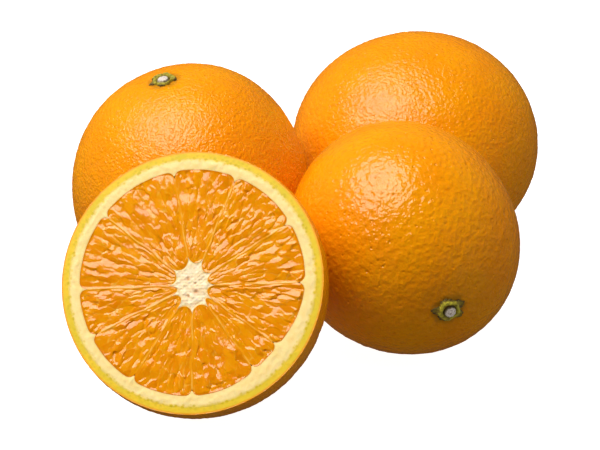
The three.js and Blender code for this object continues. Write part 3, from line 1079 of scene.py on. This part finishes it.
def core_face(fruit, turn, reach):
    """The core's cut face, with how deep in a pit and how far from the flesh each point is."""
    distance = np.linspace(0, 1, CORE_RINGS)[1:, None] * reach
    flat = around(turn, distance, 0.0).reshape(-1, 3) + [*fruit.core, 0]
    rise = 0.12 * waves(flat, 2.4, SEED + 8) + 0.06 * waves(flat, 1.0, SEED + 9) + 0.05
    pit = np.zeros(len(flat))
    for place, radius in CORE_PITS:
        away = np.hypot(*(flat[:, :2] - fruit.core - place).T)
        pit = np.maximum(pit, hump(away, radius))
    from_flesh = (reach - distance).reshape(-1)
    flat[:, 2] = (rise - CORE_PIT_DEPTH * pit) * smooth_step(from_flesh, 0, 0.5) - 0.1
    return flat, pit, from_flesh


def core_piece(fruit, material):
    """The pith core: a star that runs out between the segments' tips, and narrows downwards."""
    turn = full_turn(CORE_TURNS)
    tips, _ = fruit.edges(turn)
    reach = tips - 0.03
    top, pit, from_flesh = core_face(fruit, turn, reach)
    bottom = fruit.bowl(*fruit.core, 0.6)
    narrow = np.minimum(reach, 4.0)
    points = [top]
    for share_down, ring in ((0.12, reach), (0.5, narrow), (1.0, narrow * 0.7)):
        points.append(around(turn, ring, bottom * share_down) + [*fruit.core, 0])
    points.append([[*fruit.core, -0.1], [*fruit.core, bottom]])
    points = np.concatenate(points)
    more = len(points) - len(top)
    values = {
        "pit": np.concatenate([pit, np.zeros(more)]),
        "from_flesh": np.concatenate([from_flesh, np.full(more, 2.0)]),
    }
    faces = closed_grid((len(points) - 2) // CORE_TURNS, CORE_TURNS)
    make_piece("half_core_pith", fruit.outwards(points), faces, ["half_core"], material, values)


# ---- Stage ----

def make_floor():
    """A plain white sheet that only the camera sees, so the undersides of the fruits stay dark."""
    size = 6.0
    mesh = bpy.data.meshes.new("floor")
    corners = [(-size, -size, 0), (size, -size, 0), (size, size, 0), (-size, size, 0)]
    mesh.from_pydata(corners, [], [(0, 1, 2, 3)])
    shader = Shader("floor_white")
    shader.set(Base_Color=(0.5, 0.5, 0.5), Roughness=0.9)
    shader.set(Emission_Color=(1.0, 1.0, 1.0), Emission_Strength=0.97)
    mesh.materials.append(shader.material)
    floor = bpy.data.objects.new("floor", mesh)
    floor.visible_diffuse = False
    floor.visible_glossy = False
    bpy.context.scene.collection.objects.link(floor)


def make_world():
    """Soft fill, strongest from behind, that lights the fruit but is hardly mirrored in it."""
    world = bpy.data.worlds.new("studio")
    world.use_nodes = True
    tree = Nodes(world.node_tree)
    background = tree.nodes["Background"]
    place = tree.add("TexCoord").outputs["Generated"]
    ray = tree.add("LightPath").outputs
    fill = 0.0
    for towards, strength in FILL_LIGHT.items():
        facing = tree.add("VectorMath")
        facing.operation = "DOT_PRODUCT"
        tree.put(facing.inputs[0], place)
        tree.put(facing.inputs[1], towards)
        lobe = tree.maths("POWER", tree.maths("MAXIMUM", facing.outputs["Value"], 0.0), 2.0)
        fill = tree.maths("ADD", fill, tree.maths("MULTIPLY", lobe, strength))
    mirrored = tree.maths("MULTIPLY", ray["Is Glossy Ray"], 1 - MIRRORED_FILL)
    fill = tree.maths("MULTIPLY", fill, tree.maths("SUBTRACT", 1.0, mirrored))
    fill = tree.maths("MAXIMUM", fill, ray["Is Camera Ray"])
    tree.put(background.inputs["Strength"], fill)
    tree.put(background.inputs["Color"], (1, 1, 1))
    bpy.context.scene.world = world


def facing_back(name, data, towards, location):
    """Puts a lamp or camera at a place, looking back against the given direction."""
    thing = bpy.data.objects.new(name, data)
    thing.location = location
    thing.rotation_mode = "QUATERNION"
    thing.rotation_quaternion = towards.to_track_quat("Z", "Y")
    bpy.context.scene.collection.objects.link(thing)
    return thing


def make_softbox():
    """One large soft light, nearly overhead and a little to the front left."""
    light = bpy.data.lights.new("softbox", "AREA")
    light.shape = "DISK"
    light.size = 1.0
    light.energy = SOFTBOX_WATTS
    location = SOFTBOX_TOWARDS * SOFTBOX_DISTANCE + Vector((0, 0, 0.035))
    facing_back("softbox", light, SOFTBOX_TOWARDS, location)


def make_camera():
    """The photo's viewing angle: level with the front, looking a little down on the pile."""
    data = bpy.data.cameras.new("camera")
    data.sensor_width = 36
    data.lens = CAMERA_LENS
    back = Vector((0, -math.cos(CAMERA_ELEVATION), math.sin(CAMERA_ELEVATION)))
    camera = facing_back("camera", data, back, CAMERA_AIM + back * CAMERA_DISTANCE)
    bpy.context.scene.camera = camera


# ---- The scene ----

for order, fruit_name in enumerate(("left", "right", "front")):
    skin = skin_material(f"{fruit_name}_orange")
    whole_orange(fruit_name, SEED + order, skin, calyx_material(fruit_name))

cut = CutFruit()
flavedo_thickness = skin_thickness(cut.turn)
cut_skin(cut, flavedo_thickness, cut_skin_material())
cut_pith(cut, flavedo_thickness, pith_material())
flesh = flesh_material()
for segment in range(len(cut.names)):
    segment_piece(cut, segment, flesh)
core_piece(cut, core_material())

make_floor()
make_world()
make_softbox()
make_camera()
bpy.context.scene.view_settings.view_transform = "Standard"
